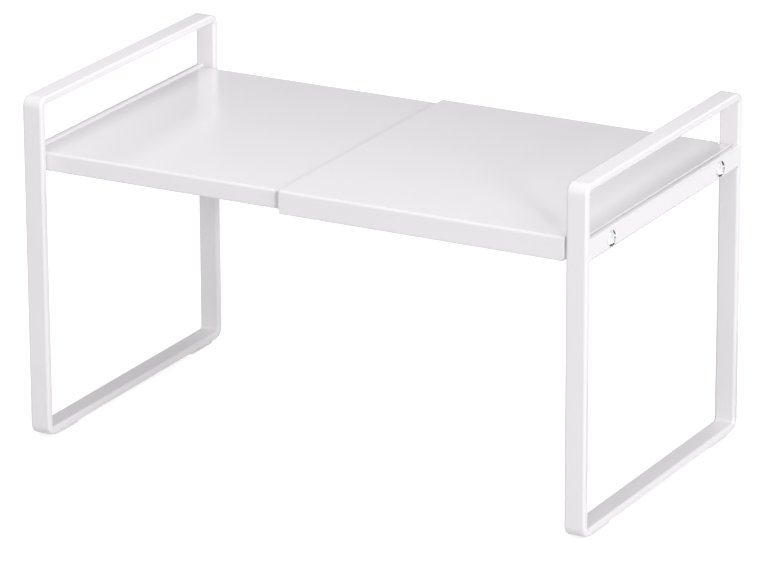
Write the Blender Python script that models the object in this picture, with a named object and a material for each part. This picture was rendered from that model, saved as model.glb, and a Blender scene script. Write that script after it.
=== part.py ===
"""Expandable countertop shelf: two welded leg frames and two folded sheet trays that slide one in the other.

Metres, +Z up. X runs along the shelf, the front is at -Y, and the shelf stands on Z = 0.
The left half (smaller tray) pulls out of the right half (larger tray) along -X.
"""
import math

import bmesh
import bpy
from mathutils import Matrix, Vector

# Leg frames, bent from one flat tube that stands with its wide side along X
LOOP_DEPTH = 0.250
LOOP_HEIGHT = 0.256
TUBE_WIDTH = 0.016
TUBE_THICKNESS = 0.006
TUBE_EDGE_RADIUS = 0.0015
BEND_OUTER_RADIUS = 0.008
BEND_STEPS = 8
EDGE_STEPS = 3

# The loops rise above the shelf by this much, as handles
HANDLE_RISE = 0.0395

# Folded sheet trays
SHEET_THICKNESS = 0.0006
FOLD_RADIUS = 0.002
LIP_FOLD_RADIUS = 0.0015
END_FOLD_RADIUS = 0.0012
FOLD_STEPS = 5
OUTER_TRAY_LENGTH = 0.2347
INNER_TRAY_LENGTH = 0.2337
OUTER_FLANGE_HEIGHT = 0.0175
OUTER_LIP_WIDTH = 0.008
INNER_LIP_WIDTH = 0.006
OUTER_END_FLANGE_HEIGHT = 0.0155
INNER_END_FLANGE_HEIGHT = 0.013
FREE_END_FLANGE_HEIGHT = 0.008
LEG_RETURN_WIDTH = 0.0042
CORNER_RELIEF = 0.001
SHEET_CORNER_RADIUS = 0.002
HEM_INNER_RADIUS = 0.0003
HEM_RETURN = 0.0051
HEM_END_MARGIN = 0.0012
HEM_STEPS = 6

# Clearances between the sliding halves, round the legs, and where pieces touch
TRAY_TO_LEG_GAP = 0.0008
FLANGE_END_TO_LEG_GAP = 0.002
TRAY_SIDE_GAP = 0.004
TRAY_TOP_GAP = 0.001
TRAY_LIP_GAP = 0.0013
SEAT_GAP = 0.0003

# Moulded guides clipped on the outer tray's lips
GUIDE_LENGTH = 0.014
GUIDE_BELOW_FOLD = 0.0012
GUIDE_FOOT_THICKNESS = 0.0007
GUIDE_HOOK_THICKNESS = 0.0014
GUIDE_BARB_THICKNESS = 0.0007
GUIDE_BARB_WIDTH = 0.0025
GUIDE_SETBACK = 0.0006

# Glide blocks with snap pegs, on the inner tray's flanges
GLIDE_LENGTH = 0.008
GLIDE_SETBACK = 0.0008
GLIDE_CORNER_RADIUS = 0.0012
PEG_RADIUS = 0.0015
PEG_HEAD_RADIUS = 0.0023
PEG_HEAD_LENGTH = 0.0013
PEG_HEAD_RIM = 0.0004
PEG_TIP_RADIUS = 0.0012

# How far the halves still pull apart before glides and guides meet
PULL_OUT_LEFT = 0.0036

# Button head screws and weld nuts
SCREW_RADIUS = 0.003
SCREW_LENGTH = 0.014
SCREW_TIP_CHAMFER = 0.0006
HEAD_RADIUS = 0.0058
HEAD_HEIGHT = 0.0028
HEAD_RIM = 0.0006
SOCKET_ACROSS_FLATS = 0.004
SOCKET_DEPTH = 0.0019
NUT_ACROSS_FLATS = 0.010
NUT_THICKNESS = 0.005
NUT_CHAMFER = 0.0006
SCREW_FROM_LEG = 0.0315
ROUND_STEPS = 32
DOME_STEPS = 6

# Foot pads
PAD_THICKNESS = 0.0015
PAD_WIDTH = 0.013
PAD_LENGTH = 0.032
PAD_CORNER_RADIUS = 0.003
PAD_FROM_BEND = 0.004

# Cutters run past what they cut by this much
CUT_OVERRUN = 0.001

# Finishes: colour, roughness and metallic value
FINISHES = {
    "white powder coat": ((0.87, 0.87, 0.87), 0.38, 0),
    "polished chrome": ((0.80, 0.80, 0.81), 0.08, 1),
    "zinc plated steel": ((0.62, 0.63, 0.65), 0.35, 1),
    "white silicone": ((0.78, 0.78, 0.77), 0.55, 0),
    "white nylon": ((0.80, 0.80, 0.78), 0.45, 0),
}
SMOOTH_ANGLE = math.radians(35)

# Heights, worked out from the sizes above
LOOP_BASE = PAD_THICKNESS + SEAT_GAP
RAIL_TOP = LOOP_BASE + LOOP_HEIGHT - HANDLE_RISE
OUTER_TRAY_TOP = RAIL_TOP
INNER_TRAY_TOP = OUTER_TRAY_TOP - SHEET_THICKNESS - TRAY_TOP_GAP
OUTER_LIP_TOP = OUTER_TRAY_TOP - OUTER_FLANGE_HEIGHT + SHEET_THICKNESS
INNER_FLANGE_HEIGHT = INNER_TRAY_TOP - OUTER_LIP_TOP - TRAY_LIP_GAP
RAIL_MIDDLE = RAIL_TOP - TUBE_WIDTH / 2
GUIDE_HEIGHT = INNER_TRAY_TOP - FOLD_RADIUS - GUIDE_BELOW_FOLD - OUTER_LIP_TOP
GLIDE_HEIGHT = INNER_FLANGE_HEIGHT - FOLD_RADIUS - LIP_FOLD_RADIUS
GLIDE_MIDDLE = INNER_TRAY_TOP - FOLD_RADIUS - GLIDE_HEIGHT / 2

# Places along Y, from the middle plane
LEG_GAP_HALF = LOOP_DEPTH / 2 - TUBE_THICKNESS
INNER_TRAY_HALF = LEG_GAP_HALF - TRAY_TO_LEG_GAP
OUTER_TRAY_HALF = INNER_TRAY_HALF + TRAY_SIDE_GAP + SHEET_THICKNESS
SCREW_FROM_MIDDLE = LEG_GAP_HALF - SCREW_FROM_LEG

# Places along X: the trays' overlap gives the shelf's width as it stands
HEM_OUTER_RADIUS = HEM_INNER_RADIUS + SHEET_THICKNESS
HEM_LENGTH = HEM_OUTER_RADIUS + HEM_RETURN
STOP_LENGTH = GUIDE_SETBACK + GUIDE_LENGTH + PULL_OUT_LEFT + GLIDE_LENGTH + GLIDE_SETBACK
TRAY_OVERLAP = HEM_LENGTH + STOP_LENGTH
RAIL_AND_SEAT = TUBE_THICKNESS + SEAT_GAP
SHELF_WIDTH = OUTER_TRAY_LENGTH + INNER_TRAY_LENGTH - TRAY_OVERLAP + RAIL_AND_SEAT + RAIL_AND_SEAT
HALF_WIDTH = SHELF_WIDTH / 2
TRAY_END = HALF_WIDTH - RAIL_AND_SEAT
SEAM = TRAY_END - OUTER_TRAY_LENGTH
INNER_FREE_END = INNER_TRAY_LENGTH - TRAY_END

SCREW_HOLE_RADIUS = SCREW_RADIUS + SEAT_GAP
CLOSE = SHEET_THICKNESS / 1000
SIDES = (("front", -1), ("back", 1))
ENDS = (("left", -1), ("right", 1))
QUARTER = math.pi / 2


def make_finish(name, colour, roughness, metallic):
    """A Principled material with one colour."""
    material = bpy.data.materials.new(name)
    material.use_nodes = True
    shader = material.node_tree.nodes["Principled BSDF"]
    shader.inputs["Base Color"].default_value = (*colour, 1)
    shader.inputs["Roughness"].default_value = roughness
    shader.inputs["Metallic"].default_value = metallic
    return material


def link_mesh(name, bm, parent):
    """Turns a bmesh into a named object under its parent."""
    mesh = bpy.data.meshes.new(name)
    bm.to_mesh(mesh)
    bm.free()
    item = bpy.data.objects.new(name, mesh)
    bpy.context.collection.objects.link(item)
    item.parent = parent
    return item


def add_piece(name, bm, finish_name, place, parent, turn=0):
    """A piece of the shelf at a place in the world, with its own copy of a finish."""
    piece = link_mesh(name, bm, parent)
    piece.data.shade_smooth()
    piece.data.set_sharp_from_angle(angle=SMOOTH_ANGLE)
    piece.data.materials.append(make_finish(name + "_finish", *FINISHES[finish_name]))
    piece.location = Vector(place) - parent.location
    piece.rotation_euler = (0, 0, turn)
    return piece


def add_boolean(name, bm, target, operation="DIFFERENCE"):
    """A hidden solid in the target's own frame, taken away from the target or joined to it."""
    tool = link_mesh(name, bm, target.parent)
    tool.display_type = "WIRE"
    tool.hide_render = True
    tool.location = target.location
    tool.rotation_euler = target.rotation_euler
    step = target.modifiers.new(name, "BOOLEAN")
    step.operation = operation
    step.solver = "EXACT"
    step.object = tool


def near(value, target):
    """Whether two places agree."""
    return abs(value - target) < CLOSE


def within(value, low, high):
    """Whether a place lies between two others, ends included."""
    return low - CLOSE < value < high + CLOSE


def edges_where(bm, test):
    """The edges whose two ends both pass a test on their place."""
    return [edge for edge in bm.edges if all(test(point.co) for point in edge.verts)]


def rounded_outline(width, height, radius):
    """Points round a rectangle with round corners, centred on zero, anticlockwise."""
    points = []
    for corner in range(4):
        across = 1 if corner in (0, 3) else -1
        up = 1 if corner in (0, 1) else -1
        centre_x = across * (width / 2 - radius)
        centre_y = up * (height / 2 - radius)
        for step in range(EDGE_STEPS + 1):
            angle = QUARTER * (corner + step / EDGE_STEPS)
            points.append((centre_x + radius * math.cos(angle), centre_y + radius * math.sin(angle)))
    return points


def run_edges(bm, edges, move):
    """Draws edges out straight and gives the new far edges."""
    made = bmesh.ops.extrude_edge_only(bm, edges=edges)["geom"]
    far_points = [item for item in made if isinstance(item, bmesh.types.BMVert)]
    bmesh.ops.translate(bm, verts=far_points, vec=move)
    far = set(far_points)
    return [item for item in made if isinstance(item, bmesh.types.BMEdge) and set(item.verts) <= far]


def fold_edges(bm, edges, centre, axis, angle, steps):
    """Draws edges round a fold line and gives the new far edges."""
    points = {point for edge in edges for point in edge.verts}
    made = bmesh.ops.spin(bm, geom=list(points) + edges, cent=centre, axis=axis, angle=angle, steps=steps)
    return [item for item in made["geom_last"] if isinstance(item, bmesh.types.BMEdge)]


def face_outwards(bm):
    """Turns every face of a closed solid outwards."""
    bmesh.ops.recalc_face_normals(bm, faces=bm.faces)
    return bm


def extruded(points, move):
    """A prism from a closed outline of 3D points."""
    bm = bmesh.new()
    face = bm.faces.new([bm.verts.new(point) for point in points])
    made = bmesh.ops.extrude_face_region(bm, geom=[face])["geom"]
    far_points = [item for item in made if isinstance(item, bmesh.types.BMVert)]
    bmesh.ops.translate(bm, verts=far_points, vec=move)
    return face_outwards(bm)


def turned(profile):
    """A solid turned about X from (along, radius) pairs whose first and last radius are zero."""
    bm = bmesh.new()
    points = [bm.verts.new((along, 0, radius)) for along, radius in profile]
    edges = [bm.edges.new(pair) for pair in zip(points, points[1:])]
    fold_edges(bm, edges, (0, 0, 0), (1, 0, 0), math.tau, ROUND_STEPS)
    bmesh.ops.remove_doubles(bm, verts=bm.verts, dist=CLOSE)
    return face_outwards(bm)


def round_bar(radius, start, end, across, height, axis="X"):
    """A round bar along X or Y from start to end, at a place across and a height."""
    bm = bmesh.new()
    length = end - start
    bmesh.ops.create_cone(bm, segments=ROUND_STEPS, radius1=radius, radius2=radius, depth=length, cap_ends=True)
    middle = (start + end) / 2
    place = (middle, across, height) if axis == "X" else (across, middle, height)
    turn = Matrix.Rotation(QUARTER, 4, "Y" if axis == "X" else "X")
    bmesh.ops.transform(bm, matrix=Matrix.Translation(place) @ turn, verts=bm.verts)
    return bm


def merged(parts):
    """One bmesh that holds several separate solids."""
    whole = bmesh.new()
    for part in parts:
        mesh = bpy.data.meshes.new("part")
        part.to_mesh(mesh)
        part.free()
        whole.from_mesh(mesh)
        bpy.data.meshes.remove(mesh)
    return whole


def leg_frame():
    """One closed loop: the tube's section is drawn along each side and spun round each bend."""
    bm = bmesh.new()
    section = rounded_outline(TUBE_WIDTH, TUBE_THICKNESS, TUBE_EDGE_RADIUS)
    ring = [bm.verts.new((x, 0, z + TUBE_THICKNESS / 2)) for x, z in section]
    edges = [bm.edges.new(pair) for pair in zip(ring, ring[1:] + ring[:1])]
    depth_run = LOOP_DEPTH / 2 - BEND_OUTER_RADIUS
    height_run = LOOP_HEIGHT - BEND_OUTER_RADIUS - BEND_OUTER_RADIUS
    heading = Vector((0, 1, 0))
    bend_centre = Vector((0, depth_run, BEND_OUTER_RADIUS))
    edges = run_edges(bm, edges, heading * depth_run)
    for length in (height_run, depth_run + depth_run, height_run, depth_run):
        edges = fold_edges(bm, edges, bend_centre, (1, 0, 0), QUARTER, BEND_STEPS)
        heading = Vector((0, -heading.z, heading.y))
        edges = run_edges(bm, edges, heading * length)
        bend_centre = bend_centre + heading * length
    bmesh.ops.remove_doubles(bm, verts=bm.verts, dist=CLOSE)
    return face_outwards(bm)


def cross_rail():
    """The same tube on edge between the legs, centred on its own section."""
    section = rounded_outline(TUBE_THICKNESS, TUBE_WIDTH, TUBE_EDGE_RADIUS)
    half = LEG_GAP_HALF - SEAT_GAP
    return extruded([(x, -half, z) for x, z in section], (0, half + half, 0))


def round_corners(bm, edges):
    """Rounds the free corners at the ends of a fold's last edge, but not those on the middle plane."""
    points = {point for edge in edges for point in edge.verts}
    corners = [point for point in points if len(point.link_faces) == 1 and not near(point.co.y, 0)]
    round_profile = 0.5
    bmesh.ops.bevel(bm, geom=corners, offset=SHEET_CORNER_RADIUS, segments=EDGE_STEPS, profile=round_profile,
                    affect="VERTICES")


def upright_edges(high, low, place_x):
    """The edges at a place along X that join two level rows of edges."""
    tops = {point for edge in high for point in edge.verts if near(point.co.x, place_x)}
    feet = {point for edge in low for point in edge.verts if near(point.co.x, place_x)}
    return [edge for point in tops for edge in point.link_edges if edge.other_vert(point) in feet]


def hemmed_run(bm, edges, drop, half, hem_x, leg_x):
    """Draws the flange down as far as leg_x, with a hem turned back inside its free end and a return
    turned in beside the leg, both short of the folds above and below."""
    flange = [edge for edge in edges if all(point.co.x < leg_x + CLOSE for point in edge.verts)]
    high = run_edges(bm, flange, (0, 0, -HEM_END_MARGIN))
    low = run_edges(bm, high, (0, 0, HEM_END_MARGIN + HEM_END_MARGIN - drop))
    hem_centre = (hem_x, HEM_OUTER_RADIUS - half, 0)
    hem = fold_edges(bm, upright_edges(high, low, hem_x), hem_centre, (0, 0, -1), math.pi, HEM_STEPS)
    run_edges(bm, hem, (HEM_RETURN, 0, 0))
    turn_centre = (leg_x, LIP_FOLD_RADIUS - half, 0)
    turn = fold_edges(bm, upright_edges(high, low, leg_x), turn_centre, (0, 0, 1), QUARTER, FOLD_STEPS)
    round_corners(bm, run_edges(bm, turn, (0, LEG_RETURN_WIDTH - LIP_FOLD_RADIUS, 0)))
    return run_edges(bm, low, (0, 0, -HEM_END_MARGIN))


def front_fold(bm, edges, half, height, lip_width, hem_and_leg=None):
    """Folds the front flange down and its lip inwards. A flange with a free end has a hem there and a
    return beside the leg, at these two places along X."""
    edges = fold_edges(bm, edges, (0, FOLD_RADIUS - half, -FOLD_RADIUS), (1, 0, 0), QUARTER, FOLD_STEPS)
    drop = height - FOLD_RADIUS - LIP_FOLD_RADIUS
    if hem_and_leg is None:
        edges = run_edges(bm, edges, (0, 0, -drop))
    else:
        edges = hemmed_run(bm, edges, drop, half, *hem_and_leg)
    lip_centre = (0, LIP_FOLD_RADIUS - half, LIP_FOLD_RADIUS - height)
    edges = fold_edges(bm, edges, lip_centre, (1, 0, 0), QUARTER, FOLD_STEPS)
    edges = run_edges(bm, edges, (0, lip_width - LIP_FOLD_RADIUS, 0))
    round_corners(bm, edges)


def end_fold(bm, edges, fold_x, outward, height):
    """Folds an end flange down, with outward 1 or -1 for the way that it looks along X."""
    edges = fold_edges(bm, edges, (fold_x, 0, -END_FOLD_RADIUS), (0, outward, 0), QUARTER, FOLD_STEPS)
    edges = run_edges(bm, edges, (0, 0, END_FOLD_RADIUS - height))
    round_corners(bm, edges)


def flat_sheet(columns, rows, present):
    """Flat quads between lines along X and Y, for the cells (column, row) that present says."""
    bm = bmesh.new()
    points = {(x, y): bm.verts.new((x, y, 0)) for x in columns for y in rows}
    for column, (left, right) in enumerate(zip(columns, columns[1:])):
        for row, (front, back) in enumerate(zip(rows, rows[1:])):
            if present(column, row):
                corners = ((left, front), (right, front), (right, back), (left, back))
                bm.faces.new([points[corner] for corner in corners])
    unused = [point for point in bm.verts if not point.link_faces]
    bmesh.ops.delete(bm, geom=unused, context="VERTS")
    return bm


def face_top_up(bm):
    """Turns an open folded sheet so that its top looks up, because its wall goes on the other side."""
    bmesh.ops.recalc_face_normals(bm, faces=bm.faces)
    top = max(bm.faces, key=lambda face: face.calc_area())
    if top.normal.z < 0:
        bmesh.ops.reverse_faces(bm, faces=bm.faces)
    return bm


def outer_tray():
    """Front half of the larger tray, from its hemmed free end to the neck that passes between the legs.

    Its zero is the outer face of its end flange, on the top."""
    free_x = HEM_OUTER_RADIUS - OUTER_TRAY_LENGTH
    shoulder_x = RAIL_AND_SEAT - TUBE_WIDTH - FLANGE_END_TO_LEG_GAP
    leg_x = shoulder_x - LIP_FOLD_RADIUS
    fold_y = FOLD_RADIUS - OUTER_TRAY_HALF
    columns = (free_x, leg_x, shoulder_x, -END_FOLD_RADIUS)
    rows = (fold_y, -INNER_TRAY_HALF, 0)
    bm = flat_sheet(columns, rows, lambda column, row: column < 2 or row == 1)
    front = edges_where(bm, lambda place: near(place.y, fold_y))
    end = edges_where(bm, lambda place: near(place.x, -END_FOLD_RADIUS))
    front_fold(bm, front, OUTER_TRAY_HALF, OUTER_FLANGE_HEIGHT, OUTER_LIP_WIDTH, (free_x, leg_x))
    end_fold(bm, end, -END_FOLD_RADIUS, 1, OUTER_END_FLANGE_HEIGHT)
    return face_top_up(bm)


def inner_tray():
    """Front half of the smaller tray, which fits whole between the legs and inside the larger tray.

    Its zero is the outer face of its bolted end flange, on the top."""
    near_x = END_FOLD_RADIUS
    far_x = INNER_TRAY_LENGTH - END_FOLD_RADIUS
    fold_y = FOLD_RADIUS - INNER_TRAY_HALF
    relief_y = fold_y + CORNER_RELIEF
    columns = (near_x, near_x + CORNER_RELIEF, far_x - CORNER_RELIEF, far_x)
    bm = flat_sheet(columns, (fold_y, relief_y, 0), lambda column, row: True)
    front = edges_where(bm, lambda place: near(place.y, fold_y) and within(place.x, *columns[1:3]))
    bolted = edges_where(bm, lambda place: near(place.x, near_x) and within(place.y, relief_y, 0))
    free = edges_where(bm, lambda place: near(place.x, far_x) and within(place.y, relief_y, 0))
    front_fold(bm, front, INNER_TRAY_HALF, INNER_FLANGE_HEIGHT, INNER_LIP_WIDTH)
    end_fold(bm, bolted, near_x, -1, INNER_END_FLANGE_HEIGHT)
    end_fold(bm, free, far_x, 1, FREE_END_FLANGE_HEIGHT)
    return face_top_up(bm)


def finish_sheet(tray):
    """Mirrors the front half to the back and gives the sheet its thickness on the inside."""
    mirror = tray.modifiers.new("back_half", "MIRROR")
    mirror.use_axis = (False, True, False)
    mirror.merge_threshold = SHEET_THICKNESS / 10
    wall = tray.modifiers.new("sheet", "SOLIDIFY")
    wall.thickness = SHEET_THICKNESS
    wall.offset = -1
    wall.use_even_offset = True


def screw():
    """A button head screw along X: the head at +X, its underside on zero, the shank to -X."""
    dome = HEAD_HEIGHT - HEAD_RIM
    crown_radius = (HEAD_RADIUS ** 2 + dome ** 2) / (dome + dome)
    crown_centre = HEAD_HEIGHT - crown_radius
    sweep = math.asin(HEAD_RADIUS / crown_radius)
    profile = [(-SCREW_LENGTH, 0), (-SCREW_LENGTH, SCREW_RADIUS - SCREW_TIP_CHAMFER)]
    profile += [(SCREW_TIP_CHAMFER - SCREW_LENGTH, SCREW_RADIUS), (0, SCREW_RADIUS), (0, HEAD_RADIUS)]
    for step in range(DOME_STEPS):
        angle = sweep * (1 - step / DOME_STEPS)
        profile.append((crown_centre + crown_radius * math.cos(angle), crown_radius * math.sin(angle)))
    profile.append((HEAD_HEIGHT, 0))
    return turned(profile)


def hexagon(across_flats, along):
    """A hexagon's corners in the YZ plane, with two flats level."""
    corner = across_flats / 2 / math.cos(math.pi / 6)
    angles = [math.tau * share / 6 for share in range(6)]
    return [(along, corner * math.cos(angle), corner * math.sin(angle)) for angle in angles]


def nut():
    """A hexagon weld nut along X with one face on zero, the other at -X with its edges chamfered."""
    bm = extruded(hexagon(NUT_ACROSS_FLATS, 0), (-NUT_THICKNESS, 0, 0))
    rim = edges_where(bm, lambda place: near(place.x, -NUT_THICKNESS))
    bmesh.ops.bevel(bm, geom=rim, offset=NUT_CHAMFER, segments=1, affect="EDGES")
    return bm


def foot_pad():
    """A thin pad with round corners whose underside is on zero."""
    outline = rounded_outline(PAD_WIDTH, PAD_LENGTH, PAD_CORNER_RADIUS)
    return extruded([(x, y, 0) for x, y in outline], (0, 0, PAD_THICKNESS))


def mouth_guide(way):
    """A clip round the outer tray's lip, whose wall fills the side gap and whose foot carries the inner tray.

    Its zero is its end at the seam, at the lip's top and the middle plane."""
    wall_out = OUTER_TRAY_HALF - SHEET_THICKNESS - SEAT_GAP
    wall_in = INNER_TRAY_HALF + SEAT_GAP
    lip_edge = OUTER_TRAY_HALF - OUTER_LIP_WIDTH - SEAT_GAP
    hook_in = lip_edge - GUIDE_HOOK_THICKNESS
    barb_out = lip_edge + GUIDE_BARB_WIDTH
    fold_room = LIP_FOLD_RADIUS - SHEET_THICKNESS
    foot_high = SEAT_GAP + GUIDE_FOOT_THICKNESS
    barb_high = -SHEET_THICKNESS - SEAT_GAP
    barb_low = barb_high - GUIDE_BARB_THICKNESS
    wall = [(wall_out - fold_room, SEAT_GAP), (wall_out, SEAT_GAP + fold_room), (wall_out, GUIDE_HEIGHT)]
    foot = [(wall_in, GUIDE_HEIGHT), (wall_in, foot_high), (hook_in, foot_high)]
    barb = [(hook_in, barb_low), (barb_out, barb_low), (barb_out, barb_high)]
    slot = [(lip_edge, barb_high), (lip_edge, SEAT_GAP)]
    outline = wall + foot + barb + slot
    return extruded([(0, way * y, z) for y, z in outline], (GUIDE_LENGTH, 0, 0))


def glide_pad(way):
    """A glide block on the outside of the inner tray's flange.

    Its zero is its end towards the seam, at its middle height and the middle plane."""
    near_y = INNER_TRAY_HALF + SEAT_GAP
    far_y = OUTER_TRAY_HALF - SHEET_THICKNESS - SEAT_GAP
    outline = rounded_outline(GLIDE_LENGTH, GLIDE_HEIGHT, GLIDE_CORNER_RADIUS)
    points = [(x + GLIDE_LENGTH / 2, way * near_y, z) for x, z in outline]
    return extruded(points, (0, way * (far_y - near_y), 0))


def glide_peg(way):
    """The glide's snap peg, from inside the block through the flange to its barbed head."""
    root = (INNER_TRAY_HALF + OUTER_TRAY_HALF) / 2
    shoulder = INNER_TRAY_HALF - SHEET_THICKNESS - SEAT_GAP
    tip = shoulder - PEG_HEAD_LENGTH
    profile = [(root, 0), (root, PEG_RADIUS), (shoulder, PEG_RADIUS), (shoulder, PEG_HEAD_RADIUS)]
    profile += [(shoulder - PEG_HEAD_RIM, PEG_HEAD_RADIUS), (tip, PEG_TIP_RADIUS), (tip, 0)]
    bm = turned(profile)
    turn = Matrix.Rotation(way * QUARTER, 4, "Z")
    bmesh.ops.transform(bm, matrix=Matrix.Translation((GLIDE_LENGTH / 2, 0, 0)) @ turn, verts=bm.verts)
    return bm


def screw_holes(start, end, height):
    """The two screw holes of one end, from start to end along X."""
    places = [way * SCREW_FROM_MIDDLE for _, way in SIDES]
    return merged([round_bar(SCREW_HOLE_RADIUS, start, end, place, height) for place in places])


def peg_holes():
    """The holes for the glides' pegs through the inner tray's two flanges, in the tray's own frame."""
    along = INNER_TRAY_LENGTH - GLIDE_SETBACK - GLIDE_LENGTH / 2
    height = GLIDE_MIDDLE - INNER_TRAY_TOP
    reach = (INNER_TRAY_HALF - SHEET_THICKNESS - CUT_OVERRUN, INNER_TRAY_HALF + CUT_OVERRUN)
    bars = []
    for _, way in SIDES:
        start, end = sorted(way * place for place in reach)
        bars.append(round_bar(PEG_RADIUS + SEAT_GAP, start, end, along, height, "Y"))
    return merged(bars)


def build_leg_frames(halves):
    """The two loops and the rail welded into each."""
    loop_x = HALF_WIDTH - TUBE_WIDTH / 2
    rail_x = HALF_WIDTH - TUBE_THICKNESS / 2
    reach = TUBE_THICKNESS / 2 + CUT_OVERRUN
    for end, sign in ENDS:
        half = halves[end]
        add_piece(end + "_leg_frame", leg_frame(), "white powder coat", (sign * loop_x, 0, LOOP_BASE), half)
        rail_place = (sign * rail_x, 0, RAIL_MIDDLE)
        rail = add_piece(end + "_cross_rail", cross_rail(), "white powder coat", rail_place, half)
        add_boolean(end + "_rail_holes", screw_holes(-reach, reach, 0), rail)


def build_trays(halves):
    """The larger tray on the right and the smaller one on the left, each drilled for its screws."""
    reach = SHEET_THICKNESS + CUT_OVERRUN
    outer_place = (TRAY_END, 0, OUTER_TRAY_TOP)
    outer = add_piece("outer_tray", outer_tray(), "white powder coat", outer_place, halves["right"])
    finish_sheet(outer)
    add_boolean("outer_screw_holes", screw_holes(-reach, CUT_OVERRUN, RAIL_MIDDLE - OUTER_TRAY_TOP), outer)
    inner_place = (-TRAY_END, 0, INNER_TRAY_TOP)
    inner = add_piece("inner_tray", inner_tray(), "white powder coat", inner_place, halves["left"])
    finish_sheet(inner)
    add_boolean("inner_screw_holes", screw_holes(-CUT_OVERRUN, reach, RAIL_MIDDLE - INNER_TRAY_TOP), inner)
    add_boolean("glide_peg_holes", peg_holes(), inner)


def build_fasteners(halves):
    """Two screws through each rail into weld nuts behind the tray's end flange."""
    head_x = HALF_WIDTH + SEAT_GAP
    nut_x = TRAY_END - SHEET_THICKNESS - SEAT_GAP
    socket_floor = HEAD_HEIGHT - SOCKET_DEPTH
    socket_reach = (SOCKET_DEPTH + CUT_OVERRUN, 0, 0)
    for end, sign in ENDS:
        turn = 0 if sign > 0 else math.pi
        for side, way in SIDES:
            name = end + "_" + side
            y = way * SCREW_FROM_MIDDLE
            head_place = (sign * head_x, y, RAIL_MIDDLE)
            bolt = add_piece(name + "_screw", screw(), "polished chrome", head_place, halves[end], turn)
            socket = extruded(hexagon(SOCKET_ACROSS_FLATS, socket_floor), socket_reach)
            add_boolean(name + "_socket", socket, bolt)
            nut_place = (sign * nut_x, y, RAIL_MIDDLE)
            weld_nut = add_piece(name + "_nut", nut(), "zinc plated steel", nut_place, halves[end], turn)
            bore = round_bar(SCREW_HOLE_RADIUS, -NUT_THICKNESS - CUT_OVERRUN, CUT_OVERRUN, 0, 0)
            add_boolean(name + "_bore", bore, weld_nut)


def build_guides(halves):
    """Guides at the outer tray's mouth and glides at the inner tray's free end, which meet as end stops."""
    guide_x = SEAM + HEM_LENGTH + GUIDE_SETBACK
    glide_x = INNER_FREE_END - GLIDE_SETBACK - GLIDE_LENGTH
    for side, way in SIDES:
        guide_place = (guide_x, 0, OUTER_LIP_TOP)
        add_piece(side + "_mouth_guide", mouth_guide(way), "white nylon", guide_place, halves["right"])
        glide_place = (glide_x, 0, GLIDE_MIDDLE)
        glide = add_piece(side + "_end_glide", glide_pad(way), "white nylon", glide_place, halves["left"])
        add_boolean(side + "_glide_peg", glide_peg(way), glide, "UNION")


def build_foot_pads(halves):
    """Four pads under the flat of the lower bars, just behind the bends."""
    pad_x = HALF_WIDTH - TUBE_WIDTH / 2
    pad_y = LOOP_DEPTH / 2 - BEND_OUTER_RADIUS - PAD_FROM_BEND - PAD_LENGTH / 2
    for end, sign in ENDS:
        for side, way in SIDES:
            place = (sign * pad_x, way * pad_y, 0)
            add_piece(end + "_" + side + "_foot_pad", foot_pad(), "white silicone", place, halves[end])


def add_half(name, x):
    """An empty on the slide's axis that carries one half of the shelf."""
    half = bpy.data.objects.new(name, None)
    bpy.context.collection.objects.link(half)
    half.location = (x, 0, RAIL_MIDDLE)
    return half


def main():
    for item in list(bpy.data.objects):
        bpy.data.objects.remove(item, do_unlink=True)
    halves = {"right": add_half("outer_half", SEAM), "left": add_half("inner_half", INNER_FREE_END)}
    build_leg_frames(halves)
    build_trays(halves)
    build_fasteners(halves)
    build_guides(halves)
    build_foot_pads(halves)


main()
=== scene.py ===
"""An expandable countertop shelf of white powder coated steel, dressed round its CAD frame.

Each section makes one piece, or one group of like pieces, in the order in which the shelf is put together.
"""
import math

import bmesh
import bpy
from mathutils import Matrix, Vector


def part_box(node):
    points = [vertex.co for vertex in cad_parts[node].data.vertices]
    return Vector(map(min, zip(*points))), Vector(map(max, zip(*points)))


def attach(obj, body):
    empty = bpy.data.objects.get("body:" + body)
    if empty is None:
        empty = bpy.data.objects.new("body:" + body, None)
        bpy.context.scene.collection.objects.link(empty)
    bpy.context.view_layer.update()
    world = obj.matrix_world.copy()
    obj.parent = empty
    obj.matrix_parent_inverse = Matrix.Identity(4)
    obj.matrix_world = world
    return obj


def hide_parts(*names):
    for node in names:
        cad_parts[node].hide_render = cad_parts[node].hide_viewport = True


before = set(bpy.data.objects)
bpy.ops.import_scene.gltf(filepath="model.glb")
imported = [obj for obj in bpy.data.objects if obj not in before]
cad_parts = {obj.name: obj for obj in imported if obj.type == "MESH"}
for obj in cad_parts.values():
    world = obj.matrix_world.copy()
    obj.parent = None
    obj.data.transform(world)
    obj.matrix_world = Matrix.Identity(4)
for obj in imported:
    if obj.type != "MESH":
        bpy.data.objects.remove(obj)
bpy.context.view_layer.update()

# Camera
# A long lens looks down on the shelf from the front and the right, as a shop's product picture is taken.
# The place and angles are those at which the model's edges fall on the photograph's.
CAMERA_PLACE = (1.7403, -3.2021, 1.3675)
CAMERA_HEADING = math.radians(28.52)
CAMERA_DIP = math.radians(18.99)
CAMERA_ROLL = math.radians(-0.26)
LENS_MM = 251.1

camera = bpy.data.objects.new("camera", bpy.data.cameras.new("camera"))
camera.data.lens = LENS_MM
camera.matrix_world = (
    Matrix.Translation(CAMERA_PLACE)
    @ Matrix.Rotation(CAMERA_HEADING, 4, "Z")
    @ Matrix.Rotation(math.pi / 2 - CAMERA_DIP, 4, "X")
    @ Matrix.Rotation(CAMERA_ROLL, 4, "Z")
)
bpy.context.collection.objects.link(camera)
bpy.context.scene.camera = camera
bpy.context.scene.view_settings.view_transform = "Standard"

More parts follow.
